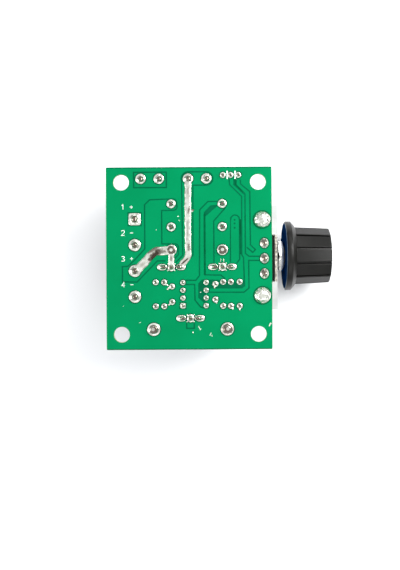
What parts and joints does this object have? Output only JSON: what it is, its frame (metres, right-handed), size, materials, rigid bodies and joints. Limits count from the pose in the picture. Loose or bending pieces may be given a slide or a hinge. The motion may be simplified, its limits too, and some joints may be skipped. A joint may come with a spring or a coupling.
{
  "type": "motor driver board",
  "caption": "Square green circuit board, solder side up, with clamp terminals, a clipped fuse, cooled power transistors and a fluted speed knob on a bracket at one edge.",
  "frame": {"origin": "centre of the four mounting holes, on the solder face of the board", "axes": "+Z out of the solder face, +X towards the knob, +Y towards the fuse edge; the board lies on the ends of its capacitors and of its large heat sink"},
  "size_m": [0.0755, 0.06, 0.0281],
  "materials": {
    "fr4_board": "green solder mask over glass-fibre laminate",
    "solder": "bright solder",
    "black_moulding": "black moulded plastic",
    "plated_steel": "plated steel",
    "plated_brass": "plated brass",
    "fuse_glass": "clear glass",
    "sleeve": "sleeved aluminium can",
    "foil_roll": "wound foil and paper",
    "rubber_seal": "rubber",
    "sink_metal": "extruded aluminium",
    "body_resin": "moulded resin",
    "tinned_lead": "tinned wire",
    "pad_film": "thin insulating film",
    "resistor_coat": "lacquered resistor",
    "diode_resin": "moulded diode",
    "disc_coat": "dipped ceramic disc",
    "bracket_tin": "tinned steel sheet",
    "wafer_paper": "phenolic paper",
    "rotor_resin": "white plastic",
    "knob_black": "black plastic",
    "knob_blue": "dark blue plastic",
    "pointer_white": "white inlay"
  },
  "bodies": {
    "board": {"circuit_board": "fr4_board", "solder_joints": "solder", "tinned_tracks": "solder", "terminal_housing": "black_moulding", "terminal_contacts": "plated_brass", "fuse_clip_1": "plated_brass", "fuse_clip_2": "plated_brass", "header_body": "black_moulding", "header_pins": "plated_brass", "capacitor_can_1": "sleeve", "capacitor_can_2": "sleeve", "capacitor_rolls": "foil_roll", "capacitor_seals": "rubber_seal", "capacitor_leads": "tinned_lead", "small_sink_1": "sink_metal", "small_sink_2": "sink_metal", "large_sink": "sink_metal", "sink_pins": "tinned_lead", "rectifier_body": "body_resin", "rectifier_tab": "tinned_lead", "regulator_body": "body_resin", "regulator_tab": "tinned_lead", "mosfet_body": "body_resin", "mosfet_tab": "tinned_lead", "transistor_leads": "tinned_lead", "transistor_screws": "plated_steel", "insulating_pad": "pad_film", "timer_chip": "body_resin", "timer_legs": "tinned_lead", "resistors": "resistor_coat", "diodes": "diode_resin", "axial_leads": "tinned_lead", "ceramic_capacitors": "disc_coat", "ceramic_leads": "tinned_lead", "pot_bracket": "bracket_tin", "pot_base": "black_moulding", "pot_bushing": "plated_brass", "pot_wafer": "wafer_paper", "pot_pins": "tinned_lead", "pot_can": "plated_steel", "pot_washer": "plated_steel", "pot_nut": "plated_steel"},
    "fuse": {"fuse_glass": "fuse_glass", "fuse_caps": "plated_brass", "fuse_wire": "tinned_lead"},
    "knob": {"pot_shaft": "plated_steel", "pot_rotor": "rotor_resin", "pot_wiper": "plated_brass", "knob_shell": "knob_black", "knob_core": "knob_blue", "knob_pointer": "pointer_white"},
    "clamp_1": {"terminal_clamp_1": "plated_brass"},
    "screw_1": {"terminal_screw_1": "plated_steel"},
    "clamp_2": {"terminal_clamp_2": "plated_brass"},
    "screw_2": {"terminal_screw_2": "plated_steel"},
    "clamp_3": {"terminal_clamp_3": "plated_brass"},
    "screw_3": {"terminal_screw_3": "plated_steel"},
    "clamp_4": {"terminal_clamp_4": "plated_brass"},
    "screw_4": {"terminal_screw_4": "plated_steel"}
  },
  "joints": [
    {"name": "clamp_1_lift", "type": "slide", "parent": "board", "child": "clamp_1", "axis": [0, 0, -1], "range_m": [0, 0.0025]},
    {"name": "screw_1_turn", "type": "hinge", "parent": "clamp_1", "child": "screw_1", "pos_m": [-0.0232, 0.01295, -0.0112], "axis": [0, 0, -1], "range_deg": [0, 1800]},
    {"name": "clamp_2_lift", "type": "slide", "parent": "board", "child": "clamp_2", "axis": [0, 0, -1], "range_m": [0, 0.0025]},
    {"name": "screw_2_turn", "type": "hinge", "parent": "clamp_2", "child": "screw_2", "pos_m": [-0.0232, 0.00445, -0.0112], "axis": [0, 0, -1], "range_deg": [0, 1800]},
    {"name": "clamp_3_lift", "type": "slide", "parent": "board", "child": "clamp_3", "axis": [0, 0, -1], "range_m": [0, 0.0025]},
    {"name": "screw_3_turn", "type": "hinge", "parent": "clamp_3", "child": "screw_3", "pos_m": [-0.0232, -0.00405, -0.0112], "axis": [0, 0, -1], "range_deg": [0, 1800]},
    {"name": "clamp_4_lift", "type": "slide", "parent": "board", "child": "clamp_4", "axis": [0, 0, -1], "range_m": [0, 0.0025]},
    {"name": "screw_4_turn", "type": "hinge", "parent": "clamp_4", "child": "screw_4", "pos_m": [-0.0232, -0.01255, -0.0112], "axis": [0, 0, -1], "range_deg": [0, 1800]},
    {"name": "fuse_lift", "type": "slide", "parent": "board", "child": "fuse", "axis": [0, 0, -1], "range_m": [0, 0.012]},
    {"name": "knob_turn", "type": "hinge", "parent": "board", "child": "knob", "pos_m": [0.0281, 0.0006, -0.0141], "axis": [1, 0, 0], "range_deg": [-150, 150]}
  ],
  "couplings": [
    {"joint": "screw_1_turn", "follows": "clamp_1_lift", "rad_per_m": 12566},
    {"joint": "screw_2_turn", "follows": "clamp_2_lift", "rad_per_m": 12566},
    {"joint": "screw_3_turn", "follows": "clamp_3_lift", "rad_per_m": 12566},
    {"joint": "screw_4_turn", "follows": "clamp_4_lift", "rad_per_m": 12566}
  ]
}
